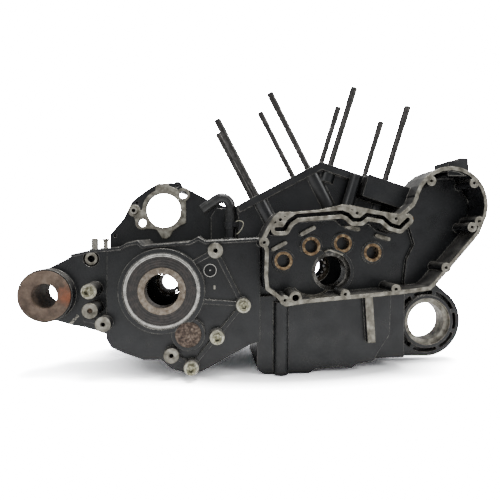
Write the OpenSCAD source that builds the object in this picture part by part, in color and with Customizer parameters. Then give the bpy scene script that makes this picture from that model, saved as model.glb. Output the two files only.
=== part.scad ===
// Crankcase of a V-twin motorcycle engine with the gearbox in the same castings.
// The crank axis is the origin, Y runs across the engine, and the two case halves meet at Y = 0.
// The engine stands as it rests on a bench, leaning back a little.

/* [Engine layout] */
// Angle between the two cylinder axes, degrees
v_angle = 45; // [43:0.5:47]
// Backward lean of the engine as it rests, degrees
rest_lean = 5.3; // [4:0.1:6.5]
// Crank axis to the cylinder base faces
deck_h = 141.7; // [139:0.1:145]
// Diameter of the hole that each cylinder barrel drops into
spigot_d = 92; // [88:0.5:94]
// Radius of the flywheel chamber
chamber_r = 108; // [105:0.5:110]
// Width of the flywheel chamber across both halves
chamber_w = 76; // [72:1:80]
// Thickness of the cast walls
wall = 8; // [6.5:0.5:9]
// Crank axis down to the flat underside of the sump
sump_h = 142; // [140:0.5:146]

/* [Cylinder studs] */
// Diameter of a cylinder stud
stud_d = 9.5; // [8:0.1:10.5]
// Length of a stud above the base face
stud_out = 118; // [105:1:125]
// Depth of a stud in the case
stud_in = 22; // [16:1:24]
// Half the spacing of the right-hand studs along the deck
stud_x = 41.5; // [40:0.1:43]
// Half the spacing of the left-hand studs along the deck
far_stud_x = 37.7; // [36:0.1:40]
// Distance of the studs from the split
stud_y = 43.8; // [42:0.1:45]
// Radius of the cast column round a stud
stud_column_r = 11.5; // [10:0.5:13]

/* [Cam chest] */
// Split to the cover face of the cam chest
rim_y = 100; // [94:0.5:104]
// Split to the floor of the cam chest
chest_floor_y = 58; // [56:0.5:62]
// Width of the machined rim
rim_w = 5; // [4:0.5:6]
// Width of the breather channel in the rim
channel_w = 5.5; // [4:0.5:6.5]
// Depth of the breather channel
channel_depth = 26; // [15:1:32]
// Split to the front of the sump
sump_y = 62; // [58:0.5:66]
// Diameter of the cover screw holes
screw_d = 5; // [4:0.1:5.6]
// Depth of the cover screw holes
screw_depth = 20; // [12:1:24]
// Depth of the short cover screw's hole
short_screw_depth = 14; // [10:0.5:18]
// Radius of the bosses round the cover screws
screw_boss_r = 6.5; // [6:0.25:6.75]
// Radius of the rounded nose
nose_r = 52; // [50:0.5:54]
// Cam bush bore diameter
cam_bore_d = 18; // [15:0.5:20]
// Cam bush outer diameter
cam_bush_d = 25.5; // [23:0.5:27]
// Length of a cam bush
cam_bush_len = 12; // [9:0.5:15]

/* [Crankshaft bearings] */
// Bore of the right-hand race
pinion_race_bore = 43; // [40:0.5:45]
// Outer diameter of the right-hand race
pinion_race_d = 52; // [50:0.5:54]
// Width of the right-hand race
pinion_race_w = 20; // [16:0.5:22]
// Bore of the left-hand race
left_race_bore = 57; // [55:0.5:60]
// Outer diameter of the left-hand race
left_race_d = 72; // [70:0.5:76]
// Width of the left-hand race
left_race_w = 22; // [18:0.5:24]
// Width of the oil seal outside the left-hand race
crank_seal_w = 8; // [6:0.5:10]
// Bore of that oil seal
crank_seal_bore = 34; // [31:0.5:37]
// Diameter of a left-hand roller
roller_d = 9; // [8:0.5:10]
// Number of left-hand rollers
roller_count = 12; // [8:1:13]

/* [Gearbox] */
// Main shaft position along the engine from the crank
main_x = -231; // [-233:0.5:-229]
// Main shaft height from the crank
main_z = -23; // [-25:0.5:-21]
// Countershaft position along the engine from the crank
counter_x = -197; // [-198.5:0.5:-195]
// Countershaft height from the crank
counter_z = -81; // [-83:0.5:-80.5]
// Split to the outer wall of the gearbox
gearbox_y = 66; // [62:0.5:68]
// Split to the wall behind the rear bosses
tail_y = 48; // [44:0.5:52]
// Split to the bolt bosses and the shaft boss
boss_y = 80; // [77:0.5:84]
// Radius of a bolt boss
bolt_boss_r = 10; // [9:0.5:11]
// Main drive bearing bore
drive_bore_d = 45; // [43:0.5:47]
// Main drive bearing outer diameter
drive_bearing_d = 100; // [98:0.5:102]
// Main drive bearing width
drive_bearing_w = 25; // [22:0.5:27]
// Number of balls in the main drive bearing
drive_ball_count = 8; // [6:1:8]

/* [Mounting lugs] */
// Rear lug position along the engine from the crank
rear_lug_x = -383; // [-386:0.5:-380]
// Rear lug height from the crank
rear_lug_z = -29; // [-31:0.5:-27]
// Rear lug radius
rear_lug_r = 35; // [33:0.5:37]
// Rear sleeve bore diameter
rear_bore_d = 33; // [30:0.5:35]
// Rear sleeve wall
rear_sleeve_wall = 4; // [3:0.5:5]
// Length of the rear lug
rear_lug_len = 64; // [58:1:68]
// Front lug position along the engine from the crank
front_lug_x = 159; // [157:0.5:161]
// Front lug height from the crank
front_lug_z = -80; // [-82:0.5:-78]
// Front lug radius
front_lug_r = 53; // [51:0.5:55]
// Front lug bore diameter
front_bore_d = 56; // [52:0.5:60]
// Front lug ring radius
front_ring_r = 40; // [38:0.5:42]
// Length of the front lug
front_lug_len = 28; // [24:1:34]

/* [Primary side] */
// Split to the inner wall of the primary case
primary_wall_y = 48; // [46:0.5:50]
// Split to the primary cover face
primary_rim_y = 100; // [92:0.5:104]
// Starter hole position along the engine from the crank
starter_x = -241; // [-243:0.5:-239]
// Starter hole height from the crank
starter_z = 90; // [88:0.5:92]
// Starter hole diameter
starter_d = 54; // [50:0.5:58]
// Height of the machined pad round the starter hole
starter_pad_t = 4; // [2:0.5:6]

/* [Hidden] */
$fn = 64;

black_paint = "#26272a";
bare_aluminium = "#a8a59b";
bright_steel = "#9a978f";
bronze = "#9c7a45";
rust_brown = "#5f4636";
rubber_black = "#1b1b1c";

banks = [-(v_angle / 2 + rest_lean), v_angle / 2 - rest_lean];
deck_inner = deck_h * tan(v_angle / 2);
deck_outer = 74;
deck_y = 57;
tower_y = 50;
block_y = 76;
block_h = 31;
barrel_y = chamber_w / 2 + wall + 4;
seat = 0.05;
spigot_foot = 97;
bolt_r = 4;
washer_t = 1.6;
washer_r = 9.3;
cup_r = 17;
bush_y = chest_floor_y + 2;
scoop_at = [-27, -1];
scoop_r = 32.5;
starter_lug_hole_r = 6.2;
plug_at = [-168, 3];
plug_r = 8.8;
drain_x = -50;
drain_y = -30;
drain_r = 9;
dowel_at = [[-90, -125], [95, -112]];
dowel_r = 6;
dowel_len = 20;
dowel_x = -286;
dowel_z = 89;
hose_gap = 7.9;
hose_x = bank_point(0, -deck_outer, deck_h)[0] - hose_gap;
hose_y = -44;
vent_y = -20;
hose_seat_z = 47;
vents = [[-330, 31], [-315, 32.5]];
cam_shafts = [[-67, 15], [-28, 35], [17, 39], [60, 26]];
chest_screws = [[-78, 70], [-99, 41], [-72, -34], [8, -27], [23, 79], [76, 72], [77, -21],
    [124, 122], [184, 120], [192, 69], [146, 7]];
short_screw = [182, 61];
oil_hole = [-58, -31];
oil_hole_r = 4.4;
nose_at = [152, 90];
channel_path = [[-83, 58], [-73, 58], [-67, 68], [-57, 75], [-27, 77.5], [3, 80], [11, 77], [18, 70.5],
    [28, 70.5], [36, 77], [58, 73.5], [69, 64], [81, 60.5], [92, 71]];
gearbox_bolts = [[-193, -125], [-159, -85], [-124, -43], [-323, -22]];
plain_bosses = [[-219, -108], [-161, 30], [-322, -47], [-306, -65]];
pocket_at = [-328, 18.4];
pocket_r = 10.5;
pocket_ring_r = 8.4;
pocket_hole_r = 4.7;
gearbox_ribs = [[[-161, 30], [-124, -43]], [[-124, -43], [-159, -85]], [[-159, -85], [-193, -125]],
    [[-219, -108], [-193, -125]], [[-184, -38], [-128, -42]], [[-161, 30], [-189, 14]],
    [[-330, -60], [-306, -65]]];
gearbox_lip = [[-346, 24], [-324, 29], [-286, 33], [-277, 38], [-263, 41], [-257, 34.5], [-196, 39.5],
    [-184, 46], [-174, 40.5], [-154, 41.5], [-104, 44.5]];
tappet_flats = [[[-82, 31], [-65, 40]], [[-42, 52], [-25, 61]], [[21, 63], [38, 59]],
    [[65, 50], [82, 45]]];
primary_screws = [[-316, 50], [-282, 101], [-219, 129]];
starter_lugs = [[-210, 115], [-274, 70]];

// Extrudes a profile drawn in X and Z from y0 to y1
module slab(y0, y1) {
    rotate([90, 0, 0]) translate([0, 0, -y1]) linear_extrude(y1 - y0) children();
}

// A cylinder along Y
module rod(x, z, r, y0, y1) {
    translate([x, y1, z]) rotate([90, 0, 0]) cylinder(r = r, h = y1 - y0);
}

module at_bank(i) {
    rotate([0, banks[i], 0]) children();
}

// A line of even width with round ends, drawn through a list of points
module stroke(path, width) {
    offset(r = width / 2 - 0.1, $fn = 24)
        polygon(concat(path, [for (i = [len(path) - 1:-1:0]) path[i] + [0.1, -0.2]]));
}

module rounded(r) {
    offset(r = r, $fn = 24) offset(delta = -r) children();
}

// Cam chest outline, seen from the cover side
module chest_2d() {
    rounded(4) {
        translate(nose_at) circle(r = nose_r);
        polygon([[-95, 61], [-87, 74], [-80, 80], [-62, 80], [-27, 83], [3, 90], [16, 89], [58, 81], [81, 78],
            [97, 92], [110, 118], [180, 134], [202, 76], [192, 52], [133, -15], [124, -23], [82, -28],
            [20, -33], [-44, -38], [-72, -42], [-82, -31], [-97, -20], [-99, -3], [-98, 31], [-104, 43]]);
    }
}

module chest_rim_2d() {
    offset(delta = 0) {
        difference() {
            chest_2d();
            offset(delta = -rim_w) chest_2d();
        }
        intersection() {
            chest_2d();
            stroke(channel_path, channel_w + 2 * rim_w);
        }
        for (p = concat(chest_screws, [short_screw])) translate(p) circle(r = screw_boss_r, $fn = 32);
        translate(oil_hole) circle(r = oil_hole_r + 4, $fn = 32);
    }
}

// Boss round the right-hand crank bearing, with a roof-shaped top
module pinion_boss_2d() {
    rounded(2) {
        circle(r = pinion_race_d / 2 + 5);
        polygon([[-29, 8], [-29.5, 16], [-5, 31], [16, 24], [30, 8]]);
    }
}

// Raised floor of the nose of the cam chest
module nose_floor_2d() {
    rounded(4) polygon([[108, 100], [110, 66], [119, 38], [108, 16], [104, -22], [128, -18], [196, 56],
        [198, 100], [176, 130], [130, 130]]);
}

module belly_2d() {
    rounded(3) polygon([[-104, -10], [-104, -134], [-97, -sump_h + 2], [-92, -sump_h], [-31, -sump_h],
        [-22, -136], [10, -133], [30, -137], [37, -131], [64, -127], [112, -127], [112, -10]]);
}

// Front of the sump, below the cam chest
module sump_2d() {
    rounded(3) polygon([[-104, -34], [-104, -134], [-97, -sump_h + 2], [-92, -sump_h], [-31, -sump_h],
        [-22, -136], [10, -133], [30, -137], [37, -131], [62, -127], [68, -116], [85, -90], [87, -26]]);
}

module gearbox_2d() {
    rounded(2) polygon([[-303, 31], [-286, 35], [-277, 41], [-263, 44], [-257, 37], [-195, 42], [-183, 49],
        [-174, 43], [-154, 44], [-100, 47], [-100, -95], [-112, -98], [-139, -112], [-166, -127],
        [-180, -134], [-204, -134], [-220, -129], [-234, -116], [-257, -116], [-283, -106], [-299, -98],
        [-305, -86]]);
}

// Rear end of the gearbox, which narrows to the rear lug
module tail_2d() {
    rounded(3) polygon([[rear_lug_x - 1, 6], [-362, 17], [-347, 26], [-324, 31], [-290, 35], [-290, -100],
        [-299, -98], [-305, -86], [-324, -79], [-340, -74], [-355, -71], [-374, -65], [rear_lug_x - 1, -64]]);
}

module gearbox_ribs_2d() {
    offset(delta = 0) {
        for (r = gearbox_ribs) stroke(r, 6);
        stroke(gearbox_lip, 3.6);
    }
}

module gearbox_cavity_2d() {
    offset(delta = 0) difference() {
        offset(delta = -wall) gearbox_2d();
        circle(r = chamber_r + 2 * wall);
        translate([-380, -120]) square([84, 180]);
        translate(pocket_at) circle(r = pocket_r + 2);
        for (p = gearbox_bolts) translate(p) circle(r = bolt_boss_r);
    }
}

// A point given along the base face and up the cylinder axis of one bank, in X and Z
function bank_point(i, along, up) = [along * cos(banks[i]) + up * sin(banks[i]),
    up * cos(banks[i]) - along * sin(banks[i])];

// Both cylinder towers, which meet in a ridge between the base faces
module towers_2d() {
    rear_corner = bank_point(0, -deck_outer, deck_h);
    polygon([[0, 0], bank_point(0, -60, 60), [rear_corner[0] + 3, 40], [rear_corner[0] + 3, 74], rear_corner,
        bank_point(0, deck_inner, deck_h), bank_point(1, deck_outer, deck_h),
        bank_point(1, deck_outer, deck_h - 14), bank_point(1, 92, 102), bank_point(1, 60, 60)]);
}

// Block that carries the front deck out over the cam chest
module front_block_2d() {
    foot = deck_h - block_h;
    rounded(2) polygon([bank_point(1, 6, foot), bank_point(1, 6, deck_h), bank_point(1, deck_outer, deck_h),
        bank_point(1, deck_outer, foot)]);
}

// The thick edge under the base faces
module deck_edge_2d() {
    edge = deck_h - 10;
    polygon([bank_point(0, -deck_outer, edge), bank_point(0, -deck_outer, deck_h),
        bank_point(0, deck_inner, deck_h), bank_point(1, deck_outer, deck_h), bank_point(1, deck_outer, edge),
        bank_point(0, edge * tan(v_angle / 2), edge)]);
}

// Towers, deck edge and stud columns of one case half, on the side of the split that side gives
module towers(side, along) {
    slab(min(0, side * tower_y), max(0, side * tower_y)) towers_2d();
    slab(min(0, side * deck_y), max(0, side * deck_y)) deck_edge_2d();
    for (i = [0, 1]) at_bank(i) for (s = [-1, 1]) let (foot = i == 1 && s < 0 ? 118 : 80)
        translate([s * along, side * stud_y, foot]) cylinder(r = stud_column_r, h = deck_h - 4 - foot);
}

// Machined pad round the starter hole, with its two bolt lugs and a dowel boss
module starter_pad_2d() {
    rounded(1.5) {
        translate([starter_x, starter_z]) circle(r = starter_d / 2 + 6);
        for (p = starter_lugs) translate(p) circle(r = 10.5);
        translate([dowel_x, dowel_z]) circle(r = 9.5);
        polygon([[-256, 100], [-252, 130], [-249, 132], [-234, 132], [-231, 128], [-220, 124], [-206, 106],
            [-206, 70], [-215, 66], [-226, 58], [-231, 49], [-237, 45], [-243, 46], [-252, 60], [-266, 61],
            [-282, 66], [-288, 84]]);
    }
}

// Lower wall of the primary case, with the raised plate behind the starter
module primary_2d() {
    rounded(6) {
        circle(r = 88);
        translate([main_x, main_z]) circle(r = 98);
        polygon([[0, 87], [-60, 88], [-130, 92], [-168, 106], [-206, 126], [-228, 134], [-252, 131],
            [-267, 122],
            [-290, 104], [-303, 77], [-324, 52], [-324, 33], [-300, -60], [-230, -121], [0, -88]]);
    }
}

module primary_rim_2d() {
    offset(delta = 0) {
        difference() {
            primary_2d();
            offset(delta = -7) primary_2d();
        }
        for (p = primary_screws) translate(p) circle(r = 7, $fn = 32);
    }
}

module stud_holes() {
    for (i = [0, 1]) at_bank(i) for (s = [-1, 1]) {
        translate([s * stud_x, -stud_y, deck_h - stud_in])
            cylinder(d = stud_d + 2 * seat, h = stud_in + 10);
        translate([s * far_stud_x, stud_y, deck_h - stud_in])
            cylinder(d = stud_d + 2 * seat, h = stud_in + 10);
    }
}

// Holes for the hollow dowels that line the halves up
module dowel_holes() {
    for (p = dowel_at) rod(p[0], p[1], dowel_r + seat, -dowel_len / 2 - 1, dowel_len / 2 + 1);
}

module chambers() {
    rod(0, 0, chamber_r, -chamber_w / 2, chamber_w / 2);
    for (i = [0, 1]) at_bank(i) translate([0, 0, spigot_foot]) cylinder(d = spigot_d, h = deck_h);
}

// Cast pockets between the ring and the edge of the front lug
module lug_pockets_2d() {
    offset(delta = 0) translate([front_lug_x, front_lug_z]) difference() {
        circle(r = front_lug_r - 6);
        circle(r = front_ring_r + 1);
        for (a = [20, 75, 120, 240, 295, 340]) rotate(a) translate([0, -3]) square([front_lug_r, 6]);
    }
    rounded(2) polygon([[107, -52], [114, -96], [122, -112], [107, -122]]);
}

module right_case_half() {
    color(black_paint) difference() {
        union() {
            rod(0, 0, chamber_r + wall, -barrel_y, 0);
            slab(-barrel_y, 0) belly_2d();
            slab(-sump_y, -barrel_y + 1) sump_2d();
            translate([-71, -sump_y, -sump_h + 1]) cylinder(r = 10.5, h = 100);
            slab(-sump_y - 9, -sump_y + 1) polygon([[45, -30], [56, -30], [61, -99], [50, -99]]);
            towers(-1, stud_x);
            slab(-block_y, -tower_y + 1) front_block_2d();
            at_bank(1) translate([-6, -tower_y - 12, 84]) cylinder(r = 8, h = deck_h - 88);
            slab(-chest_floor_y, -barrel_y + 2) chest_2d();
            slab(-chest_floor_y - 8, -chest_floor_y + 1) pinion_boss_2d();
            slab(-chest_floor_y - 6, -chest_floor_y + 1) nose_floor_2d();
            for (f = tappet_flats) slab(-chest_floor_y - 5, -chest_floor_y + 1) stroke(f, 5.5);
            for (c = cam_shafts) rod(c[0], c[1], cam_bush_d / 2 + 3, -chest_floor_y - 2, -chest_floor_y + 1);
            slab(-rim_y, -chest_floor_y) chest_rim_2d();
            slab(-rim_y + 6, -chest_floor_y) rounded(2)
                polygon([[150, 130], [150, 150], [164, 151], [165, 154], [178, 154], [180, 130]]);
            slab(-gearbox_y, 0) gearbox_2d();
            slab(-tail_y, 0) tail_2d();
            slab(-gearbox_y - 5, -gearbox_y + 1) gearbox_ribs_2d();
            rod(main_x, main_z, drive_bearing_d / 2 + 6, -boss_y, -gearbox_y + 1);
            for (p = concat(gearbox_bolts, plain_bosses))
                rod(p[0], p[1], bolt_boss_r, -boss_y, -tail_y + 1);
            rod(counter_x, counter_z, 22, -boss_y + 4, -gearbox_y + 1);
            rod(rear_lug_x, rear_lug_z, rear_lug_r, -rear_lug_len, 0);
            rod(front_lug_x, front_lug_z, front_lug_r, -front_lug_len + 4, 0);
            slab(-front_lug_len + 4, 0) polygon([[100, -10], [152, -10], [177, -26], [194, -41], [159, -133],
                [100, -131]]);
            rod(front_lug_x, front_lug_z, front_ring_r, -front_lug_len, 0);
            translate([hose_x, hose_y, 36]) cylinder(r = 9, h = hose_seat_z - 36);
            for (v = vents) translate([v[0], vent_y, 18]) cylinder(r = 7, h = v[1] - 18);
        }
        chambers();
        stud_holes();
        slab(-gearbox_y + wall, 1) gearbox_cavity_2d();
        dowel_holes();
        rod(0, 0, pinion_race_d / 2 + seat, -chest_floor_y - 9, -chamber_w / 2 + 1);
        for (c = cam_shafts)
            rod(c[0], c[1], cam_bush_d / 2 + seat, -bush_y - 1, -bush_y + cam_bush_len);
        rod(scoop_at[0], scoop_at[1], scoop_r, -rim_y + 3, -chest_floor_y);
        rod(oil_hole[0], oil_hole[1], oil_hole_r, -rim_y - 1, -chest_floor_y);
        slab(-rim_y - 1, -rim_y + channel_depth) stroke(channel_path, channel_w);
        for (p = chest_screws) rod(p[0], p[1], screw_d / 2, -rim_y - 1, -rim_y + screw_depth);
        rod(short_screw[0], short_screw[1], screw_d / 2, -rim_y - 1, -rim_y + short_screw_depth);
        rod(main_x, main_z, drive_bearing_d / 2 + seat, -boss_y - 1, -boss_y + 2 + drive_bearing_w);
        rod(main_x, main_z, drive_bearing_d / 2 - 7, -boss_y - 1, 1);
        rod(counter_x, counter_z, cup_r + seat, -boss_y, -gearbox_y + 20);
        ring(pocket_at[0], pocket_at[1], pocket_r, pocket_ring_r, -tail_y - 1, -tail_y + 9);
        rod(pocket_at[0], pocket_at[1], pocket_hole_r, -tail_y - 1, -tail_y + 20);
        rod(plug_at[0], plug_at[1], plug_r + seat, -gearbox_y - 2, -gearbox_y + 4);
        translate([drain_x, drain_y, -sump_h - 1]) cylinder(r = drain_r + seat, h = 14);
        for (p = gearbox_bolts) rod(p[0], p[1], bolt_r + 0.3, -boss_y - 1, 1);
        for (p = plain_bosses) rod(p[0], p[1], 3.4, -boss_y - 1, -boss_y + 24);
        rod(rear_lug_x, rear_lug_z, rear_bore_d / 2 + rear_sleeve_wall, -rear_lug_len - 1, 1);
        rod(front_lug_x, front_lug_z, front_bore_d / 2, -front_lug_len - 1, 1);
        rod(front_lug_x, front_lug_z, front_bore_d / 2 + 7, -front_lug_len - 1, -front_lug_len + 5);
        slab(-front_lug_len + 3, -front_lug_len + 16) lug_pockets_2d();
    }
}

module left_case_half() {
    color(black_paint) difference() {
        union() {
            rod(0, 0, chamber_r + wall, 0, primary_wall_y);
            slab(0, primary_wall_y) belly_2d();
            towers(1, far_stud_x);
            slab(0, primary_wall_y) gearbox_2d();
            slab(0, 30) offset(delta = 0) difference() {
                tail_2d();
                translate([rear_lug_x, rear_lug_z]) circle(r = rear_lug_r + 3);
            }
            slab(20, primary_wall_y) rounded(3)
                polygon([[-166, 30], [-166, 80], [-158, 92], [-135, 92], [-120, 60], [-120, 30]]);
            slab(primary_wall_y - starter_pad_t, primary_wall_y + 1) starter_pad_2d();
            slab(primary_wall_y, primary_wall_y + wall) primary_2d();
            slab(primary_wall_y, primary_rim_y) primary_rim_2d();
            rod(0, 0, left_race_d / 2 + 9, primary_wall_y - 1, left_race_y + left_race_w + crank_seal_w);
            slab(18, primary_wall_y) polygon([[-232, -100], [-226, -sump_h], [-192, -sump_h], [-184, -100]]);
        }
        chambers();
        stud_holes();
        dowel_holes();
        slab(-1, primary_wall_y + wall - shaft_w - 2) gearbox_cavity_2d();
        slab(primary_wall_y + wall - shaft_w - 3, primary_wall_y) offset(delta = 0) difference() {
            gearbox_cavity_2d();
            translate([main_x, main_z]) circle(r = shaft_b + wall);
        }
        rod(0, 0, left_race_d / 2 + seat, left_race_y, left_race_y + left_race_w + crank_seal_w + 1);
        rod(0, 0, left_race_bore / 2 - 3, chamber_w / 2 - 1, left_race_y + 1);
        rod(main_x, main_z, shaft_b + seat, primary_wall_y + wall - shaft_w, primary_wall_y + wall + 1);
        rod(main_x, main_z, shaft_b - 4, 30, primary_wall_y + wall);
        rod(starter_x, starter_z, starter_d / 2, primary_wall_y - starter_pad_t - 1,
            primary_wall_y + wall + 1);
        rod(dowel_x, dowel_z, 5.5 + seat, primary_wall_y - starter_pad_t - 1, primary_wall_y + 6);
        for (p = starter_lugs)
            rod(p[0], p[1], starter_lug_hole_r, primary_wall_y - starter_pad_t - 1, primary_wall_y + wall + 1);
        for (p = primary_screws) rod(p[0], p[1], screw_d / 2, primary_wall_y - 1, primary_rim_y + 1);
        for (p = gearbox_bolts) rod(p[0], p[1], bolt_r + seat, -1, 24);
    }
}

module studs(i) {
    color(bright_steel) at_bank(i) for (s = [-1, 1]) {
        translate([s * stud_x, -stud_y, deck_h - stud_in]) stud();
        translate([s * far_stud_x, stud_y, deck_h - stud_in]) stud();
    }
}

module stud() {
    cylinder(d = stud_d, h = stud_in + 4);
    cylinder(d = stud_d - 0.8, h = stud_in + stud_out - 2);
    translate([0, 0, stud_in + stud_out - 26]) cylinder(d = stud_d, h = 25);
    translate([0, 0, stud_in + stud_out - 1]) cylinder(d1 = stud_d, d2 = stud_d - 2, h = 1);
}

module rear_cylinder_studs() { studs(0); }
module front_cylinder_studs() { studs(1); }

// A plain ring along Y
module ring(x, z, outer_r, inner_r, y0, y1) {
    difference() {
        rod(x, z, outer_r, y0, y1);
        rod(x, z, inner_r, y0 - 1, y1 + 1);
    }
}

module pinion_bearing_race() {
    color(bright_steel) ring(0, 0, pinion_race_d / 2, pinion_race_bore / 2, -chest_floor_y,
        -chest_floor_y + pinion_race_w);
}

module cam_bush(i) {
    color(bronze) ring(cam_shafts[i][0], cam_shafts[i][1], cam_bush_d / 2, cam_bore_d / 2,
        -bush_y, -bush_y + cam_bush_len);
}

module cam_bush_1() { cam_bush(0); }
module cam_bush_2() { cam_bush(1); }
module cam_bush_3() { cam_bush(2); }
module cam_bush_4() { cam_bush(3); }

left_race_y = chamber_w / 2 + 4;
roller_pitch_r = left_race_bore / 2 - roller_d / 2 - 0.2;
roller_len = left_race_w - 8;

module left_crank_race() {
    color(bright_steel)
        ring(0, 0, left_race_d / 2, left_race_bore / 2, left_race_y, left_race_y + left_race_w);
}

module left_crank_seal() {
    color(rubber_black) ring(0, 0, left_race_d / 2, crank_seal_bore / 2, left_race_y + left_race_w,
        left_race_y + left_race_w + crank_seal_w - 1);
}

module rollers(r, len) {
    for (k = [0:roller_count - 1]) rotate([0, k * 360 / roller_count, 0])
        rod(roller_pitch_r, 0, r, left_race_y + (left_race_w - len) / 2,
            left_race_y + (left_race_w + len) / 2);
}

module left_crank_rollers() {
    color(bright_steel) rollers(roller_d / 2, roller_len);
}

module left_crank_roller_cage() {
    color(rust_brown) difference() {
        ring(0, 0, roller_pitch_r + 2.4, roller_pitch_r - 2.4, left_race_y + 1,
            left_race_y + left_race_w - 1);
        rollers(roller_d / 2 + 0.15, roller_len + 0.3);
    }
}

// Ball bearing pieces, at the middle of the width, for bore radius a, outer radius b and width w
function pitch_r(a, b) = (a + b) / 2;
function ball_r(a, b) = (b - a) * 0.3175;
function land_r(a, b, side) = pitch_r(a, b) + side * ball_r(a, b) * 0.6;

module turned(x, y, z) {
    translate([x, y, z]) rotate([90, 0, 0]) rotate_extrude() children();
}

module bearing_ring(a, b, w, side) {
    inner = side < 0 ? a : land_r(a, b, 1);
    outer = side < 0 ? land_r(a, b, -1) : b;
    difference() {
        translate([inner, -w / 2]) square([outer - inner, w]);
        translate([pitch_r(a, b), 0]) circle(r = ball_r(a, b) + 0.3);
        if (side > 0) for (e = [-1, 1]) translate([inner, e * (w / 2 - seal_depth / 2)])
            square([2 * seal_lip, seal_depth + seat], center = true);
    }
}

module bearing_balls(a, b, count, grow) {
    for (k = [0:count - 1]) rotate([0, k * 360 / count, 0]) translate([pitch_r(a, b), 0, 0])
        sphere(r = ball_r(a, b) + grow);
}

module bearing_cage(a, b, count) {
    half = ball_r(a, b) + 1.3;
    difference() {
        ring(0, 0, pitch_r(a, b) + 1.5, pitch_r(a, b) - 1.5, -half, half);
        for (k = [0:count - 1]) rotate([0, k * 360 / count, 0]) translate([pitch_r(a, b) - 6, 0, 0])
            rotate([0, 90, 0]) cylinder(r = ball_r(a, b) + 0.2, h = 12);
    }
}

seal_depth = 2;
seal_lip = 4;
drive_a = drive_bore_d / 2;
drive_b = drive_bearing_d / 2;
drive_y = -boss_y + 2 + drive_bearing_w / 2;
drive_at = [main_x, drive_y, main_z];
shaft_a = 12.5;
shaft_b = 26;
shaft_w = 15;
shaft_balls = 9;
shaft_at = [main_x, primary_wall_y + wall - shaft_w / 2, main_z];

module drive_bearing_outer_ring() {
    color(bright_steel) turned(main_x, drive_y, main_z) bearing_ring(drive_a, drive_b, drive_bearing_w, 1);
}

module drive_bearing_inner_ring() {
    color(rust_brown) turned(main_x, drive_y, main_z) bearing_ring(drive_a, drive_b, drive_bearing_w, -1);
}

module drive_bearing_balls() {
    color(bright_steel) translate(drive_at) bearing_balls(drive_a, drive_b, drive_ball_count, 0);
}

module drive_bearing_cage() {
    color(bronze) translate(drive_at) bearing_cage(drive_a, drive_b, drive_ball_count);
}

module drive_bearing_seals() {
    seal_y = drive_bearing_w / 2 - 1.3;
    color(rubber_black) for (s = [-1, 1])
        ring(main_x, main_z, land_r(drive_a, drive_b, 1) + seal_lip - seat, land_r(drive_a, drive_b, -1) + 0.3,
            drive_y + s * seal_y - 0.6, drive_y + s * seal_y + 0.6);
}

module mainshaft_bearing_outer_ring() {
    color(bright_steel) turned(shaft_at[0], shaft_at[1], shaft_at[2])
        bearing_ring(shaft_a, shaft_b, shaft_w, 1);
}

module mainshaft_bearing_inner_ring() {
    color(bright_steel) turned(shaft_at[0], shaft_at[1], shaft_at[2])
        bearing_ring(shaft_a, shaft_b, shaft_w, -1);
}

module mainshaft_bearing_balls() {
    color(bright_steel) translate(shaft_at) bearing_balls(shaft_a, shaft_b, shaft_balls, 0);
}

module mainshaft_bearing_cage() {
    color(bronze) translate(shaft_at) bearing_cage(shaft_a, shaft_b, shaft_balls);
}

module countershaft_bearing_cup() {
    color(rust_brown) difference() {
        rod(counter_x, counter_z, cup_r, -boss_y + 3, -gearbox_y + 16);
        rod(counter_x, counter_z, cup_r - 2.5, -boss_y + 5, -gearbox_y + 17);
    }
}

module rear_mount_sleeve() {
    color(rust_brown) difference() {
        union() {
            rod(rear_lug_x, rear_lug_z, rear_bore_d / 2 + rear_sleeve_wall - seat, -rear_lug_len, 0);
            rod(rear_lug_x, rear_lug_z, rear_lug_r - 2, -rear_lug_len - 3, -rear_lug_len);
        }
        rod(rear_lug_x, rear_lug_z, rear_bore_d / 2, -rear_lug_len - 4, 1);
    }
}

module case_bolts() {
    color(bright_steel) for (p = gearbox_bolts) difference() {
        union() {
            rod(p[0], p[1], 6.2, -boss_y - washer_t - 8, -boss_y - washer_t);
            rod(p[0], p[1], bolt_r, -boss_y - washer_t, 22);
        }
        translate([p[0], -boss_y - washer_t - 3, p[1]]) rotate([90, 0, 0]) cylinder(r = 3.6, h = 6, $fn = 6);
    }
}

module bolt_washers() {
    color(bright_steel) for (p = gearbox_bolts)
        ring(p[0], p[1], washer_r, bolt_r + 0.3, -boss_y - washer_t, -boss_y);
}

module broken_stud() {
    color(rust_brown) rod(plain_bosses[2][0], plain_bosses[2][1], 3.4 - seat, -boss_y + 3, -boss_y + 24);
}

module oil_passage_plug() {
    color(black_paint) difference() {
        rod(plug_at[0], plug_at[1], plug_r, -gearbox_y - 1, -gearbox_y + 4);
        rod(plug_at[0], plug_at[1], plug_r - 1, -gearbox_y - 2, -gearbox_y + 1);
    }
}

module starter_dowel() {
    color(bare_aluminium)
        ring(dowel_x, dowel_z, 5.5, 3, primary_wall_y - starter_pad_t - 7, primary_wall_y + 6);
}

hose_r = 7.25;
hose_bore_r = 4.6;
bend_r = 12;
bend_angle = 125;
bend_z = 90;
hose_end = 25;

hose_sides = 20;
bend_steps = 10;
// Stations along the hose: place in X and Z, and the angle that the hose has turned
hose_stations = concat(
    [[hose_x, hose_seat_z + 12, 0]],
    [for (k = [0:bend_steps]) let (a = k * bend_angle / bend_steps)
        [hose_x - bend_r + bend_r * cos(a), bend_z + bend_r * sin(a), a]],
    [[hose_x - bend_r + bend_r * cos(bend_angle) - hose_end * sin(bend_angle),
        bend_z + bend_r * sin(bend_angle) + hose_end * cos(bend_angle), bend_angle]]);

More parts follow.
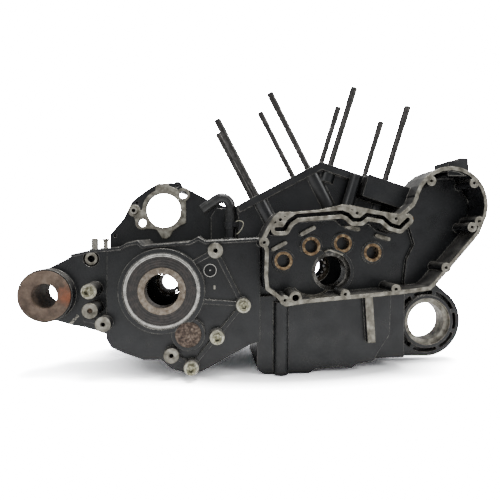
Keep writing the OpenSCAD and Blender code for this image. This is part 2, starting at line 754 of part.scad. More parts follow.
function hose_ring(r) = [for (s = hose_stations) for (k = [0:hose_sides - 1]) let (t = k * 360 / hose_sides)
    [s[0] + r * cos(t) * cos(s[2]), hose_y + r * sin(t), s[1] + r * cos(t) * sin(s[2])]];

module vent_elbow() {
    n = hose_sides;
    last = len(hose_stations) - 1;
    inner = (last + 1) * n;
    color(rubber_black) polyhedron(
        points = concat(hose_ring(hose_r), hose_ring(hose_bore_r)),
        faces = concat(
            [for (i = [0:last - 1]) for (k = [0:n - 1]) let (q = (k + 1) % n)
                [i * n + k, (i + 1) * n + k, (i + 1) * n + q, i * n + q]],
            [for (i = [0:last - 1]) for (k = [0:n - 1]) let (q = (k + 1) % n)
                [inner + i * n + q, inner + (i + 1) * n + q, inner + (i + 1) * n + k, inner + i * n + k]],
            [for (k = [0:n - 1]) let (q = (k + 1) % n) [k, q, inner + q, inner + k]],
            [for (k = [0:n - 1]) let (q = (k + 1) % n, e = last * n)
                [e + q, e + k, inner + e + k, inner + e + q]]));
}

module vent_hose_clamp() {
    color(bright_steel) translate([hose_x, hose_y, hose_seat_z + 15]) rotate(-50) difference() {
        union() {
            cylinder(r = hose_r + 1.2, h = 7);
            translate([hose_r, -3, 0]) cube([5, 6, 7]);
        }
        translate([0, 0, -1]) cylinder(r = hose_r + seat, h = 9);
    }
}

module vent_fitting() {
    color(black_paint) translate([hose_x, hose_y, hose_seat_z]) difference() {
        union() {
            cylinder(r = 6.2, h = 12, $fn = 6);
            cylinder(r = hose_bore_r - seat, h = 26);
        }
        translate([0, 0, 2]) cylinder(r = 2.5, h = 26);
    }
}

module gearbox_vent_pipe() {
    color(bare_aluminium) translate([vents[0][0], vent_y, vents[0][1]]) difference() {
        cylinder(r = 4.5, h = 15);
        translate([0, 0, 3]) cylinder(r = 3, h = 15);
    }
}

module gearbox_vent_cap() {
    color(bare_aluminium) translate([vents[1][0], vent_y, vents[1][1]]) {
        cylinder(r = 3, h = 10);
        translate([0, 0, 9]) cylinder(r1 = 3, r2 = 5.5, h = 4);
    }
}

module drain_plug() {
    color(bright_steel) translate([drain_x, drain_y, -sump_h + 1]) difference() {
        cylinder(r = drain_r, h = 12);
        translate([0, 0, -1]) cylinder(r = 4.5, h = 7, $fn = 6);
    }
}

module case_dowels() {
    color(bright_steel) for (p = dowel_at)
        ring(p[0], p[1], dowel_r, dowel_r - 2, -dowel_len / 2, dowel_len / 2);
}

right_case_half();
left_case_half();
rear_cylinder_studs();
front_cylinder_studs();
pinion_bearing_race();
cam_bush_1();
cam_bush_2();
cam_bush_3();
cam_bush_4();
left_crank_race();
left_crank_rollers();
left_crank_roller_cage();
left_crank_seal();
drive_bearing_outer_ring();
drive_bearing_inner_ring();
drive_bearing_balls();
drive_bearing_cage();
drive_bearing_seals();
mainshaft_bearing_outer_ring();
mainshaft_bearing_inner_ring();
mainshaft_bearing_balls();
mainshaft_bearing_cage();
countershaft_bearing_cup();
rear_mount_sleeve();
case_bolts();
bolt_washers();
broken_stud();
oil_passage_plug();
starter_dowel();
vent_elbow();
vent_hose_clamp();
vent_fitting();
gearbox_vent_pipe();
gearbox_vent_cap();
drain_plug();
case_dowels();
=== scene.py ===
"""Looks of an old V-twin crankcase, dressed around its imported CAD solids. Lengths are in metres."""

import math

import bmesh
import bpy
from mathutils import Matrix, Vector


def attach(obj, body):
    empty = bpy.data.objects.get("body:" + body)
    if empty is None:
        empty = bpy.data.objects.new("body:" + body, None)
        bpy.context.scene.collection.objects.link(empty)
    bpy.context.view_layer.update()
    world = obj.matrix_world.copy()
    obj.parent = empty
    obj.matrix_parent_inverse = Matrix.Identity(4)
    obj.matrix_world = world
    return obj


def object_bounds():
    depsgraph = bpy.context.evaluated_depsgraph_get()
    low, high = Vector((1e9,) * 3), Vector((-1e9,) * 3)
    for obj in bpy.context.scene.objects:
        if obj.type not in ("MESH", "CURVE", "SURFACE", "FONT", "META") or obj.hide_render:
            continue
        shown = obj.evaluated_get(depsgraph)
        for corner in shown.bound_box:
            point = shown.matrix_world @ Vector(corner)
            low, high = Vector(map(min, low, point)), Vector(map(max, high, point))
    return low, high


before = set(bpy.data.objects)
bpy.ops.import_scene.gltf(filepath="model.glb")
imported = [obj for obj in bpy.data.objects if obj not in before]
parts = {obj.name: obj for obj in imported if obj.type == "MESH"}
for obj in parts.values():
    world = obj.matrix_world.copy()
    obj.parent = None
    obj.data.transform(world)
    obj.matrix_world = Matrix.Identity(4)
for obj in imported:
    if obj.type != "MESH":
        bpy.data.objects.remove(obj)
cad_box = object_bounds()
MM = 0.001

# ---- Bench and light ----
# The crankcase stands on a pale bench against white paper, under a large soft light overhead.
# The camera looks at its right-hand side from just above the crank axis.

SENSOR_MM = 36
FOCAL_LENGTH_PX = 430
PHOTO_WIDTH_PX = 500
PAPER_GLARE = 60.0
ROOM_LIGHT = 0.5
MIDDLE_OF_CASE = (-0.1, 0, 0)
BENCH_HALF = 30
BENCH_Z = cad_box[0].z
# How bright the camera sees the bench: low in a painted shadow round the case, high in the open.
PAINTED_SHADOW_BENCH, OPEN_BENCH = 2.6, 45.0

camera = bpy.data.objects.new("camera", bpy.data.cameras.new("camera"))
bpy.context.scene.collection.objects.link(camera)
camera.location = (-0.169, -0.646, 0.048)
camera.rotation_euler = (math.radians(88.26), 0, math.radians(-5.41))
camera.data.sensor_width = SENSOR_MM
camera.data.lens = SENSOR_MM * FOCAL_LENGTH_PX / PHOTO_WIDTH_PX
camera.data.clip_start = 0.01
bpy.context.scene.camera = camera


def linear(hex_colour):
    """An sRGB colour written as hex, as linear RGBA."""
    shares = [int(hex_colour[i:i + 2], 16) / 255 for i in (1, 3, 5)]
    return [s / 12.92 if s <= 0.04045 else ((s + 0.055) / 1.055) ** 2.4 for s in shares] + [1]


def add(tree, kind, inputs={}, **settings):
    """Adds a node. Each input takes a value, a socket, or a node whose first output it takes."""
    made = tree.nodes.new("ShaderNode" + kind)
    for name, value in settings.items():
        setattr(made, name, value)
    for key, value in inputs.items():
        if isinstance(value, bpy.types.Node):
            value = value.outputs[0]
        if isinstance(value, bpy.types.NodeSocket):
            tree.links.new(value, made.inputs[key])
        else:
            made.inputs[key].default_value = value
    return made


world = bpy.data.worlds.new("white_room")
bpy.context.scene.world = world
world.use_nodes = True
sky = world.node_tree
sky.nodes.clear()
seen = add(sky, "Background", {"Color": (1, 1, 1, 1), "Strength": PAPER_GLARE})
room = add(sky, "Background", {"Color": (0.95, 0.97, 1, 1), "Strength": ROOM_LIGHT})
path = add(sky, "LightPath")
mixed = add(sky, "MixShader", {0: path.outputs["Is Camera Ray"], 1: room, 2: seen})
add(sky, "OutputWorld", {"Surface": mixed})


def soft_light(name, place, size, watts):
    """A round soft box that faces the middle of the case."""
    lamp = bpy.data.lights.new(name, "AREA")
    lamp.energy, lamp.size, lamp.shape = watts, size, "DISK"
    holder = bpy.data.objects.new(name, lamp)
    holder.location = place
    look = Vector(MIDDLE_OF_CASE) - Vector(place)
    holder.rotation_euler = look.to_track_quat("-Z", "Y").to_euler()
    bpy.context.scene.collection.objects.link(holder)


soft_light("overhead", (0.1, -0.1, 1.4), 1.0, 46)
soft_light("front_left", (-1.2, -1.3, 0.9), 0.9, 5)
soft_light("front_right", (1.2, -1.0, 0.9), 0.7, 8)

bench = bpy.data.objects.new("bench", bpy.data.meshes.new("bench"))
corners = [(-BENCH_HALF, -BENCH_HALF), (BENCH_HALF, -BENCH_HALF), (BENCH_HALF, BENCH_HALF),
           (-BENCH_HALF, BENCH_HALF)]
bench.data.from_pydata([(x, y, BENCH_Z) for x, y in corners], [], [(0, 1, 2, 3)])
bpy.context.scene.collection.objects.link(bench)
white_board = bpy.data.materials.new("white_board")
white_board.use_nodes = True
tree = white_board.node_tree
tree.nodes.clear()
first_sight = add(tree, "LightPath").outputs["Is Camera Ray"]
ground = add(tree, "TexCoord").outputs["Object"]
# Seen by the camera, the bench is painted darker near the case as a painted shadow, fading to a far brighter
# bench further out.
spread = add(tree, "Mapping", {"Vector": ground, "Location": (0.2, -0.1, 0), "Scale": (3.0, 5.5, 0)})
reach = add(tree, "VectorMath", {0: spread}, operation="LENGTH")
bench_painted_shadow = add(tree, "MapRange", {0: reach.outputs["Value"], 1: 0.6, 2: 1.8, 3: PAINTED_SHADOW_BENCH, 4: OPEN_BENCH})
bright = add(tree, "MapRange", {0: first_sight, 3: 0.8, 4: bench_painted_shadow})
board_colour = add(tree, "CombineColor", {0: bright, 1: bright, 2: bright})
board = add(tree, "BsdfDiffuse", {"Color": board_colour})
add(tree, "OutputMaterial", {"Surface": board})
bench.data.materials.append(white_board)

# ---- Case halves ----
# The two halves are cast in aluminium in sand moulds and painted satin black all over. The gasket
# faces, bolt faces and bores are then milled, which leaves them bare, and time has dulled them.

DECK_H = 141.7 * MM
BANKS = [math.radians(-27.8), math.radians(17.2)]
AXES = [Vector((math.sin(a), 0, math.cos(a))) for a in BANKS]
COVER_FACE, BOSS_FACE, RIB_FACE, SLOT_FACE = -100, -80, -71, -66
FLAT_FACE, POCKET_FACE, SPLIT, STARTER_FACE, PRIMARY_FACE = -63, -48, 0, 44, 100
DRIVE_AT = (-231, -65.5, -23)
FRONT_MOUNT_AT = (159, -80)
SCOOP_AT = (-27, -1)
POCKET_AT = (-328, 18.4)
GASKET_SCRAP = ((101.5, 73), 3.2)
ROOF_PEAK = (-5.2, 30.4)
EDGE_R = 1.7 * MM


def new_material(name, **surface):
    """A material with its shader, whose plain values are set on its own sockets."""
    material = bpy.data.materials.new(name)
    material.use_nodes = True
    tree = material.node_tree
    shader = tree.nodes["Principled BSDF"]
    for key, value in surface.items():
        shader.inputs[key.replace("_", " ")].default_value = value
    return material, tree, shader


def join(tree, source, shader, name):
    """Feeds one of the shader's inputs from a node."""
    tree.links.new(source.outputs[0], shader.inputs[name])


def dress(names, material):
    """Gives CAD nodes a material in their own slots."""
    for name in names:
        parts[name].data.materials.clear()
        parts[name].data.materials.append(material)


def mottle(tree, place, size_mm, stops, detail):
    """Colours that drift over patches of a real size, from a list of (share, hex colour)."""
    cloud = add(tree, "TexNoise", {"Vector": place, "Scale": 1 / (size_mm * MM), "Detail": detail})
    ramp = add(tree, "ValToRGB", {0: cloud})
    marks = ramp.color_ramp.elements
    while len(marks) < len(stops):
        marks.new(0.5)
    for mark, (share, colour) in zip(marks, stops):
        mark.position, mark.color = share, linear(colour)
    return ramp


def grain(tree, place, size_mm, height_mm, strength, normal=None):
    """Fine relief of a real size and height."""
    cloud = add(tree, "TexNoise", {"Vector": place, "Scale": 1 / (size_mm * MM), "Detail": 3.0})
    inputs = {"Height": cloud, "Distance": height_mm * MM, "Strength": strength}
    if normal:
        inputs["Normal"] = normal
    return add(tree, "Bump", inputs)


class Surface:
    """Where a point of the casting lies and which way it faces, with masks for milled places.
    Places are given in millimetres, as (x, z) where they are seen along the crank axis."""

    def __init__(self, tree):
        self.tree = tree
        self.place = add(tree, "TexCoord").outputs["Object"]
        self.facing = add(tree, "NewGeometry").outputs["True Normal"]
        self.at = add(tree, "SeparateXYZ", {0: self.place})
        self.turn = add(tree, "SeparateXYZ", {0: self.facing})
        self.across = add(tree, "CombineXYZ", {"X": self.at.outputs["X"], "Z": self.at.outputs["Z"]})

    def both(self, *masks):
        """Where every mask holds."""
        total = masks[0]
        for mask in masks[1:]:
            total = add(self.tree, "Math", {0: total, 1: mask}, operation="MULTIPLY")
        return total

    def either(self, *masks):
        """Where any of the masks holds."""
        total = masks[0]
        for mask in masks[1:]:
            total = add(self.tree, "Math", {0: total, 1: mask}, operation="MAXIMUM")
        return total

    def apart(self, mask):
        """Where the mask doesn't hold."""
        return add(self.tree, "Math", {0: 1.0, 1: mask}, operation="SUBTRACT")

    def level(self, y, side):
        """Faces square to the crank axis, at one height along it."""
        here = {0: self.at.outputs["Y"], 1: y * MM, 2: 0.4 * MM}
        towards = {0: self.turn.outputs["Y"], 1: side, 2: 0.1}
        return self.both(add(self.tree, "Math", here, operation="COMPARE"),
                         add(self.tree, "Math", towards, operation="COMPARE"))

    def span(self, axis, low, high):
        """Between two heights along an axis."""
        held = {0: self.at.outputs[axis], 1: (low + high) / 2 * MM, 2: (high - low) / 2 * MM}
        return add(self.tree, "Math", held, operation="COMPARE")

    def round(self, centre, radius):
        """Inside a circle seen along the crank axis."""
        middle = (centre[0] * MM, 0, centre[1] * MM)
        gap = add(self.tree, "VectorMath", {0: self.across, 1: middle}, operation="DISTANCE")
        return add(self.tree, "Math", {0: gap.outputs["Value"], 1: radius * MM}, operation="LESS_THAN")

    def strip(self, start, end, half_width=1.1):
        """Along a straight line seen along the crank axis."""
        run = Vector((end[0] - start[0], 0, end[1] - start[1])).normalized()
        side = Vector((run.z, 0, -run.x))
        first, last = (run.dot(Vector((p[0], 0, p[1]))) for p in (start, end))
        shift = side.dot(Vector((start[0], 0, start[1])))
        off = add(self.tree, "VectorMath", {0: self.across, 1: side}, operation="DOT_PRODUCT")
        ahead = add(self.tree, "VectorMath", {0: self.across, 1: run}, operation="DOT_PRODUCT")
        near = {0: off.outputs["Value"], 1: shift * MM, 2: half_width * MM}
        inside = {0: ahead.outputs["Value"], 1: (first + last) / 2 * MM, 2: (last - first) / 2 * MM}
        return self.both(add(self.tree, "Math", near, operation="COMPARE"),
                         add(self.tree, "Math", inside, operation="COMPARE"))

    def deck(self, axis):
        """The base face of one cylinder."""
        along = add(self.tree, "VectorMath", {0: self.place, 1: axis}, operation="DOT_PRODUCT")
        square = add(self.tree, "VectorMath", {0: self.facing, 1: axis}, operation="DOT_PRODUCT")
        flat = {0: along.outputs["Value"], 1: DECK_H, 2: 0.5 * MM}
        up = {0: square.outputs["Value"], 1: 0.98}
        return self.both(add(self.tree, "Math", flat, operation="COMPARE"),
                         add(self.tree, "Math", up, operation="GREATER_THAN"))


def painted_casting(name, milled, scrap=None):
    """Satin black paint over sand-cast aluminium: soft sheen, slightly pebbled, edges grey from wear and
    painted highlight.
    The milled faces are pale, with faint tool marks and old stains, and one has a scrap of gasket."""
    material, tree, shader = new_material(name)
    skin = Surface(tree)
    bare = milled(skin)

    # Rounded edges are painted pale grey in patches: partly paint worn through, partly a painted highlight
    # along the edges.
    rounded_edge = add(tree, "Bevel", {"Radius": EDGE_R}, samples=6)
    true_way = add(tree, "NewGeometry").outputs["Normal"]
    bend = add(tree, "VectorMath", {0: rounded_edge, 1: true_way}, operation="DOT_PRODUCT")
    edge = add(tree, "MapRange", {0: bend.outputs["Value"], 1: 0.985, 2: 0.86})
    chips = add(tree, "TexNoise", {"Vector": skin.place, "Scale": 1 / (7 * MM), "Detail": 6.0,
                                   "Roughness": 0.62})
    rub_and_edge_highlight = skin.both(edge, add(tree, "MapRange", {0: chips, 1: 0.4, 2: 0.62, 3: 0.12, 4: 1.0}))

    paint = mottle(tree, skin.place, 38, [(0.3, "#09090b"), (0.55, "#0f1012"), (0.75, "#17181a")], 8.0)
    upward = add(tree, "MapRange", {0: skin.turn.outputs["Z"], 1: 0.2, 2: 1.0})
    film = add(tree, "TexNoise", {"Vector": skin.place, "Scale": 1 / (16 * MM), "Detail": 7.0})
    dust = skin.both(upward, add(tree, "MapRange", {0: film, 1: 0.36, 2: 0.62, 3: 0.25, 4: 0.85}))
    dusty = add(tree, "MixRGB", {0: dust, 1: paint, 2: linear("#66645f")})
    worn_and_highlit = add(tree, "MixRGB", {0: skin.both(rub_and_edge_highlight, 0.75), 1: dusty, 2: linear("#a19e95")})
    metal = mottle(tree, skin.place, 9, [(0.3, "#4f4c43"), (0.48, "#7c786d"), (0.7, "#aaa79b")], 9.0)
    looks = add(tree, "MixRGB", {0: bare, 1: worn_and_highlit, 2: metal})
    if scrap:
        left_on = skin.both(skin.level(COVER_FACE, -1), skin.round(*scrap))
        looks = add(tree, "MixRGB", {0: skin.both(left_on, 0.85), 1: looks, 2: linear("#75552f")})
    join(tree, looks, shader, "Base Color")

    gloss = add(tree, "TexNoise", {"Vector": skin.place, "Scale": 1 / (22 * MM), "Detail": 6.0})
    satin = add(tree, "MapRange", {0: gloss, 1: 0.35, 2: 0.7, 3: 0.27, 4: 0.45})
    join(tree, add(tree, "Mix", {0: bare, 2: satin, 3: 0.42}), shader, "Roughness")
    join(tree, skin.both(skin.either(bare, skin.both(rub_and_edge_highlight, 0.6)), 0.55), shader, "Metallic")
    pebbles = grain(tree, skin.place, 1.6, 0.1, 0.35, rounded_edge.outputs[0])
    join(tree, grain(tree, skin.place, 16, 0.5, 0.25, pebbles.outputs[0]), shader, "Normal")
    return material


def milled_right(skin):
    """Cover rim, bolt faces, tappet flats, base faces, bores and the rubbed rib under the chest."""
    bearing = skin.apart(skin.round((DRIVE_AT[0], DRIVE_AT[2]), 58))
    bosses = skin.both(skin.level(BOSS_FACE, -1), bearing)
    lug = skin.both(skin.round(FRONT_MOUNT_AT, 35.6), skin.span("Y", -29, 1))
    scoop = skin.both(skin.round(SCOOP_AT, 32.8), skin.apart(skin.round(SCOOP_AT, 32.0)),
                      skin.span("Z", -60, -22))
    rib = skin.both(skin.level(RIB_FACE, -1), skin.span("X", 42, 64))
    ring = skin.both(skin.level(POCKET_FACE, -1), skin.round(POCKET_AT, 8.6))
    flaking = add(skin.tree, "TexNoise", {"Vector": skin.place, "Scale": 1 / (3 * MM), "Detail": 5.0})
    flaked = add(skin.tree, "Math", {0: flaking, 1: 0.47}, operation="GREATER_THAN")
    chip = skin.both(skin.span("Y", -69, -40), flaked, skin.strip((-357, -70.5), (-346, -58), 1.8))
    slot = skin.both(skin.level(SLOT_FACE, -1), skin.span("X", -163.4, -160.8), skin.span("Z", -22.6, -17.4))
    slopes = skin.either(skin.strip((-29.5, 15.9), ROOF_PEAK), skin.strip(ROOF_PEAK, (15.4, 23.1)))
    roof = skin.both(skin.span("Y", -66.1, -63), skin.span("Z", 12, 31), slopes)
    flats = skin.both(skin.level(FLAT_FACE, -1), skin.span("Z", 28, 66))
    return skin.either(skin.level(COVER_FACE, -1), bosses, lug, scoop, rib, ring, flats, chip, slot, roof,
                       skin.deck(AXES[0]), skin.deck(AXES[1]), skin.level(SPLIT, 1))


def milled_left(skin):
    """Starter pad, primary cover rim, base faces and the joint to the other half."""
    pad = skin.both(skin.level(STARTER_FACE, -1), skin.span("Z", 40, 140))
    return skin.either(pad, skin.level(PRIMARY_FACE, 1), skin.deck(AXES[0]), skin.deck(AXES[1]),
                       skin.level(SPLIT, -1))


dress(["right_case_half"], painted_casting("painted_casting_right", milled_right, GASKET_SCRAP))
dress(["left_case_half"], painted_casting("painted_casting_left", milled_left))

# ---- Cylinder studs ----
# Eight long studs are screwed into the case, turned from oiled steel and rolled with a thread
# at the top, where the head nuts sat. The steel has gone dark brown-grey.

STUD_R = 4.75 * MM
STUD_TOP = DECK_H + 118 * MM
STUD_CHAMFER = 1.2 * MM
THREAD_PITCH = 1.6 * MM
THREAD_LENGTH = 24 * MM
CREST, ROOT = 0.12 * MM, -0.5 * MM
STUDS = [(-41.5, -43.8), (41.5, -43.8), (-37.7, 43.8), (37.7, 43.8)]


def new_piece(name, shape, material, body="root"):
    """Links a mesh made with bmesh as a piece that rides on a body."""
    mesh = bpy.data.meshes.new(name)
    bmesh.ops.recalc_face_normals(shape, faces=shape.faces)
    shape.to_mesh(mesh)
    shape.free()
    for face in mesh.polygons:
        face.use_smooth = True
    piece = bpy.data.objects.new(name, mesh)
    bpy.context.scene.collection.objects.link(piece)
    piece.data.materials.append(material)
    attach(piece, body)
    return piece


def turn_profile(shape, profile, place, axis, steps, hollow=False):
    """Turns a profile of (radius, height) points round an axis. A hollow one's profile is a loop,
    and the others have their ends closed."""
    side = axis.orthogonal().normalized()
    other = axis.cross(side).normalized()
    angles = [2 * math.pi * k / steps for k in range(steps)]
    spokes = [side * math.cos(a) + other * math.sin(a) for a in angles]
    rows = []
    for radius, height in profile:
        rows.append([shape.verts.new(place + axis * height + spoke * radius) for spoke in spokes])
    for low, high in zip(rows, rows[1:] + rows[:1] if hollow else rows[1:]):
        for k in range(steps):
            shape.faces.new((low[k], low[(k + 1) % steps], high[(k + 1) % steps], high[k]))
    if not hollow:
        shape.faces.new(rows[0][::-1])
        shape.faces.new(rows[-1])


oiled_steel, tree, shader = new_material("oiled_steel", Metallic=0.9)
place = add(tree, "TexCoord").outputs["Object"]
browned = mottle(tree, place, 6, [(0.3, "#353433"), (0.55, "#4b4947"), (0.8, "#6c6966")], 6.0)
join(tree, browned, shader, "Base Color")
worn_gloss = add(tree, "TexNoise", {"Vector": place, "Scale": 1 / (5 * MM), "Detail": 5.0})
join(tree, add(tree, "MapRange", {0: worn_gloss, 1: 0.3, 2: 0.7, 3: 0.24, 4: 0.42}), shader, "Roughness")
join(tree, grain(tree, place, 0.8, 0.02, 0.25), shader, "Normal")
dress(["rear_cylinder_studs", "front_cylinder_studs"], oiled_steel)

for bank, axis in zip(("rear", "front"), AXES):
    along = Vector((axis.z, 0, -axis.x))
    threads = bmesh.new()
    half_turns = int(THREAD_LENGTH / THREAD_PITCH) * 2
    for offset, y in STUDS:
        foot = along * offset * MM + Vector((0, y * MM, 0)) + axis * (STUD_TOP - STUD_CHAMFER - THREAD_LENGTH)
        profile = [(STUD_R + (CREST if k % 2 else ROOT), k * THREAD_PITCH / 2) for k in range(half_turns + 1)]
        turn_profile(threads, profile, foot, axis, 24)
    new_piece(bank + "_stud_threads", threads, oiled_steel)

# ---- Bearings ----
# Ground bearing steel, bright where it was wiped, with a brown bloom of rust on the inner ring
# of the large bearing. The seals are moulded rubber on a steel plate.

SHAFT_AT = (-231, 48.5, -23)


def brushed_ring(name, centre, colours, metallic, low, high, ring_mm=0.6, height=0.02):
    """A turned, ground or moulded face: fine rings round its own axis, which catch the light. Its
    roughness drifts between low and high."""
    material, tree, shader = new_material(name, Metallic=metallic)
    place = add(tree, "TexCoord").outputs["Object"]
    moved = add(tree, "VectorMath", {0: place, 1: Vector(centre) * MM}, operation="SUBTRACT")
    at = add(tree, "SeparateXYZ", {0: moved})
    flat = add(tree, "CombineXYZ", {"X": at.outputs["X"], "Z": at.outputs["Z"]})
    reach = add(tree, "VectorMath", {0: flat}, operation="LENGTH").outputs["Value"]
    rings = add(tree, "Math", {0: reach, 1: 2 * math.pi / (ring_mm * MM)}, operation="MULTIPLY")
    groove = add(tree, "Math", {0: rings}, operation="SINE")
    join(tree, mottle(tree, place, 5, colours, 7.0), shader, "Base Color")
    cloud = add(tree, "TexNoise", {"Vector": place, "Scale": 1 / (4 * MM), "Detail": 5.0})
    join(tree, add(tree, "MapRange", {0: cloud, 1: 0.3, 2: 0.7, 3: low, 4: high}), shader, "Roughness")
    lines = add(tree, "Bump", {"Height": groove, "Distance": height * MM, "Strength": 0.4})
    join(tree, grain(tree, place, 1.1, 0.06, 0.5, lines.outputs[0]), shader, "Normal")
    return material


dress(["drive_bearing_outer_ring"],
      brushed_ring("ground_steel_outer", DRIVE_AT, [(0.3, "#8d8b86"), (0.5, "#b5b3ad"), (0.75, "#d4d2cc")],
                   0.9, 0.18, 0.32, 2.3, 0.18))
dress(["drive_bearing_inner_ring"],
      brushed_ring("bloomed_steel_inner", DRIVE_AT, [(0.3, "#655a4e"), (0.5, "#82776a"), (0.72, "#a0968a")],
                   0.85, 0.26, 0.42))
dress(["mainshaft_bearing_outer_ring", "mainshaft_bearing_inner_ring", "mainshaft_bearing_balls",
       "drive_bearing_balls"],
      brushed_ring("ground_steel_shaft", SHAFT_AT, [(0.3, "#5c5a56"), (0.5, "#8a8884"), (0.75, "#b4b2ac")],
                   0.9, 0.2, 0.4))
dress(["pinion_bearing_race", "left_crank_race", "left_crank_rollers"],
      brushed_ring("ground_steel_crank", (0, 0, 0), [(0.3, "#33322f"), (0.5, "#565450"), (0.75, "#8f8c86")],
                   0.92, 0.2, 0.36, 0.6, 0.005))
dress(["drive_bearing_cage", "mainshaft_bearing_cage", "left_crank_roller_cage"],
      brushed_ring("pressed_steel_cage", SHAFT_AT, [(0.3, "#4a4238"), (0.6, "#6f6556"), (0.8, "#8c8270")],
                   0.8, 0.35, 0.55))
dress(["drive_bearing_seals", "left_crank_seal"],
      brushed_ring("moulded_seal_rubber", DRIVE_AT, [(0.3, "#1a1817"), (0.5, "#272321"), (0.75, "#3a322e")],
                   0.0, 0.36, 0.55, 3.4, 0.25))

# ---- Cam bushes ----
# Four flanged bushes turned from bronze and pressed into the wall of the cam chest. Their faces
# are worn bright yellow-brown, with dark oil in the grooves.

BRONZE = [(0.28, "#42352a"), (0.48, "#7d664c"), (0.7, "#baa583")]
for number, (x, z) in enumerate([(-67, 15), (-28, 35), (17, 39), (60, 26)], 1):
    dress([f"cam_bush_{number}"],
          brushed_ring(f"turned_bronze_{number}", (x, -60, z), BRONZE, 0.85, 0.25, 0.42, 1.2, 0.04))

# ---- Rusty steel ----
# The mounting sleeve, the needle cup of the countershaft and the stump of a broken stud stood
# bare in the weather. Their rust is brown and scaly, with an orange patch on the sleeve.

ORANGE_PATCH = ((-353, -67, -30), 15, "#86492c")


def rusty_steel(name, size_mm, colours, patch=None):
    """Scaly rust on bare steel: dull, rough, and uneven in colour over a few millimetres."""
    material, tree, shader = new_material(name, Metallic=0.15)
    place = add(tree, "TexCoord").outputs["Object"]
    scale = mottle(tree, place, size_mm, colours, 12.0)
    if patch:
        centre, radius, colour = patch
        gap = add(tree, "VectorMath", {0: place, 1: Vector(centre) * MM}, operation="DISTANCE")
        ragged = add(tree, "TexNoise", {"Vector": place, "Scale": 1 / (6 * MM), "Detail": 8.0})
        spread = add(tree, "Math", {0: ragged, 1: radius * 1.6 * MM}, operation="MULTIPLY")
        inside = add(tree, "Math", {0: gap.outputs["Value"], 1: spread}, operation="SUBTRACT")
        share = add(tree, "MapRange", {0: inside, 1: 5 * MM, 2: -9 * MM, 3: 0.0, 4: 0.75})
        scale = add(tree, "MixRGB", {0: share, 1: scale, 2: linear(colour)})
    join(tree, scale, shader, "Base Color")
    cloud = add(tree, "TexNoise", {"Vector": place, "Scale": 1 / (2.5 * MM), "Detail": 6.0})
    join(tree, add(tree, "MapRange", {0: cloud, 1: 0.3, 2: 0.7, 3: 0.6, 4: 0.9}), shader, "Roughness")
    pits = grain(tree, place, 1.3, 0.25, 0.8)
    join(tree, grain(tree, place, 6, 0.5, 0.5, pits.outputs[0]), shader, "Normal")
    return material


dress(["rear_mount_sleeve"],
      rusty_steel("rusty_steel_sleeve", 12,
                  [(0.3, "#43362c"), (0.48, "#5a4b3f"), (0.62, "#6b5b4e"), (0.8, "#7d6f62")], ORANGE_PATCH))
dress(["countershaft_bearing_cup"],
      rusty_steel("rusty_steel_cup", 3,
                  [(0.3, "#2c221c"), (0.48, "#4b3d33"), (0.65, "#75665a"), (0.8, "#9a8d80")]))
dress(["broken_stud"],
      rusty_steel("rusty_steel_stump", 3, [(0.3, "#3b2c22"), (0.6, "#6b5a48"), (0.8, "#8f8472")]))

# ---- Case bolts and small fittings ----
# Socket-head bolts and flat washers, zinc plated and tarnished to a yellow-grey, hold the halves
# together. The plugs, dowels and pipes are plain steel or bare aluminium.

PLUG_AT = (-168, 3)


def plated(name, colours, low, high, metallic=0.9):
    """Zinc plate gone dull: pale grey with yellow stains and dark specks of dirt. Its roughness
    drifts between low and high."""
    material, tree, shader = new_material(name, Metallic=metallic)
    place = add(tree, "TexCoord").outputs["Object"]
    stain = mottle(tree, place, 3, colours, 8.0)
    specks = add(tree, "TexNoise", {"Vector": place, "Scale": 1 / (1.6 * MM), "Detail": 4.0})
    dirt = add(tree, "MapRange", {0: specks, 1: 0.62, 2: 0.72, 3: 0.0, 4: 0.7})
    join(tree, add(tree, "MixRGB", {0: dirt, 1: stain, 2: linear("#2b2822")}), shader, "Base Color")
    cloud = add(tree, "TexNoise", {"Vector": place, "Scale": 1 / (2 * MM), "Detail": 5.0})
    join(tree, add(tree, "MapRange", {0: cloud, 1: 0.3, 2: 0.7, 3: low, 4: high}), shader, "Roughness")
    join(tree, grain(tree, place, 0.9, 0.06, 0.6), shader, "Normal")
    return material


zinc = plated("zinc_plate", [(0.3, "#85826f"), (0.5, "#b5b2a0"), (0.72, "#d9d7c9")], 0.28, 0.5)
dress(["bolt_washers", "case_dowels", "drain_plug"], zinc)
yellowed = plated("yellowed_zinc", [(0.3, "#4b4838"), (0.5, "#86836d"), (0.72, "#c4c2ac")], 0.2, 0.4)
dress(["case_bolts"], yellowed)
dull_aluminium = plated("dull_aluminium", [(0.3, "#77746b"), (0.5, "#9d9a90"), (0.75, "#bbb8ae")], 0.4, 0.6)
dress(["starter_dowel", "gearbox_vent_pipe", "gearbox_vent_cap"], dull_aluminium)
blackened = plated("blackened_steel", [(0.3, "#101012"), (0.55, "#1b1b1e"), (0.8, "#2e2d2e")],
                   0.35, 0.55, 0.3)
dress(["vent_fitting", "vent_hose_clamp"], blackened)

oil_plug, tree, shader = new_material("oil_plug", Roughness=0.35, Metallic=0.4)
skin = Surface(tree)
turned_edge = skin.both(skin.round(PLUG_AT, 8.7), skin.apart(skin.round(PLUG_AT, 7.9)))
marks = skin.either(turned_edge, skin.round(PLUG_AT, 0.9))
bright_marks = add(tree, "MixRGB", {0: marks, 1: linear("#121214"), 2: linear("#c9c7c0")})
join(tree, bright_marks, shader, "Base Color")
dress(["oil_passage_plug"], oil_plug)

# ---- Screw threads ----
# The tapped holes of the cam cover and of the gearbox bosses keep their threads, cut in the bare
# aluminium, which glint inside the dark holes.

COVER_SCREWS = [(-78, 70), (-99, 41), (-72, -34), (8, -27), (23, 79), (76, 72), (77, -21), (124, 122),
                (184, 120), (192, 69), (182, 61), (146, 7)]
BOSS_SCREWS = [(-219, -108), (-161, 30), (-306, -65)]
HALF_PITCH, FIRST_CREST = 0.5, 0.4
SKIN, GROOVE, RIDGE = 0.02, 0.1, 0.5

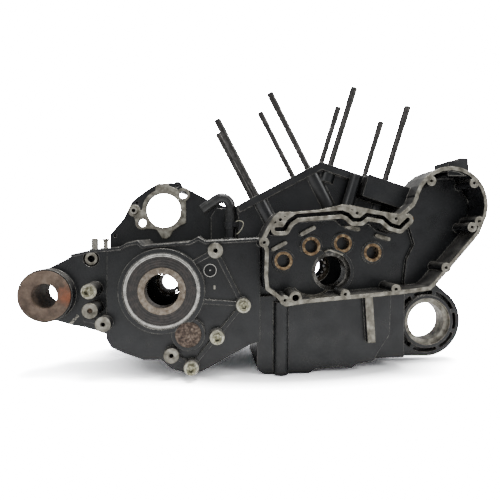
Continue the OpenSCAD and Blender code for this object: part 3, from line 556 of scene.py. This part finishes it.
tapped = bmesh.new()
for holes, hole_r, face, depth in ((COVER_SCREWS, 2.5, COVER_FACE, 11), (BOSS_SCREWS, 3.4, BOSS_FACE, 12)):
    for x, z in holes:
        inside = [((hole_r - (GROOVE if k % 2 else RIDGE)) * MM, (FIRST_CREST + k * HALF_PITCH) * MM)
                  for k in range(int(depth / HALF_PITCH))]
        outside = (hole_r - SKIN) * MM
        loop = [(outside, FIRST_CREST * MM)] + inside + [(outside, depth * MM)]
        turn_profile(tapped, loop, Vector((x, face, z)) * MM, Vector((0, 1, 0)), 20, hollow=True)
new_piece("tapped_threads", tapped, dull_aluminium)

# ---- Clamp ears ----
# The spring clamp on the vent hose is wound from flat steel, and its two wire ears stand out to
# the front, worn bright.

EAR_WIRE_R = 0.8 * MM
EAR_ROUTE = [(-131.8, 69), (-127.5, 71.5), (-122.5, 69.5), (-121.2, 65.5), (-123.5, 60), (-127.5, 54),
             (-131, 51.8)]

ears = bpy.data.curves.new("clamp_ears", "CURVE")
ears.dimensions = "3D"
ears.bevel_depth = EAR_WIRE_R
ears.bevel_resolution = 3
for y in (-47, -50.4):
    line = ears.splines.new("NURBS")
    line.points.add(len(EAR_ROUTE) - 1)
    for point, (x, z) in zip(line.points, EAR_ROUTE):
        point.co = (x * MM, y * MM, z * MM, 1)
    line.use_endpoint_u = True
clamp_ears = bpy.data.objects.new("clamp_ears", ears)
bpy.context.scene.collection.objects.link(clamp_ears)
clamp_ears.data.materials.append(zinc)
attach(clamp_ears, "root")

# ---- Vent hose ----
# A short moulded elbow of black rubber carries the crankcase breath. It is glossy with oil.

hose_rubber, tree, shader = new_material("moulded_hose_rubber")
place = add(tree, "TexCoord").outputs["Object"]
rubber = mottle(tree, place, 10, [(0.3, "#161616"), (0.55, "#222221"), (0.8, "#383836")], 6.0)
join(tree, rubber, shader, "Base Color")
cloud = add(tree, "TexNoise", {"Vector": place, "Scale": 1 / (9 * MM), "Detail": 5.0})
join(tree, add(tree, "MapRange", {0: cloud, 1: 0.3, 2: 0.7, 3: 0.2, 4: 0.38}), shader, "Roughness")
join(tree, grain(tree, place, 1.2, 0.05, 0.5), shader, "Normal")
dress(["vent_elbow"], hose_rubber)
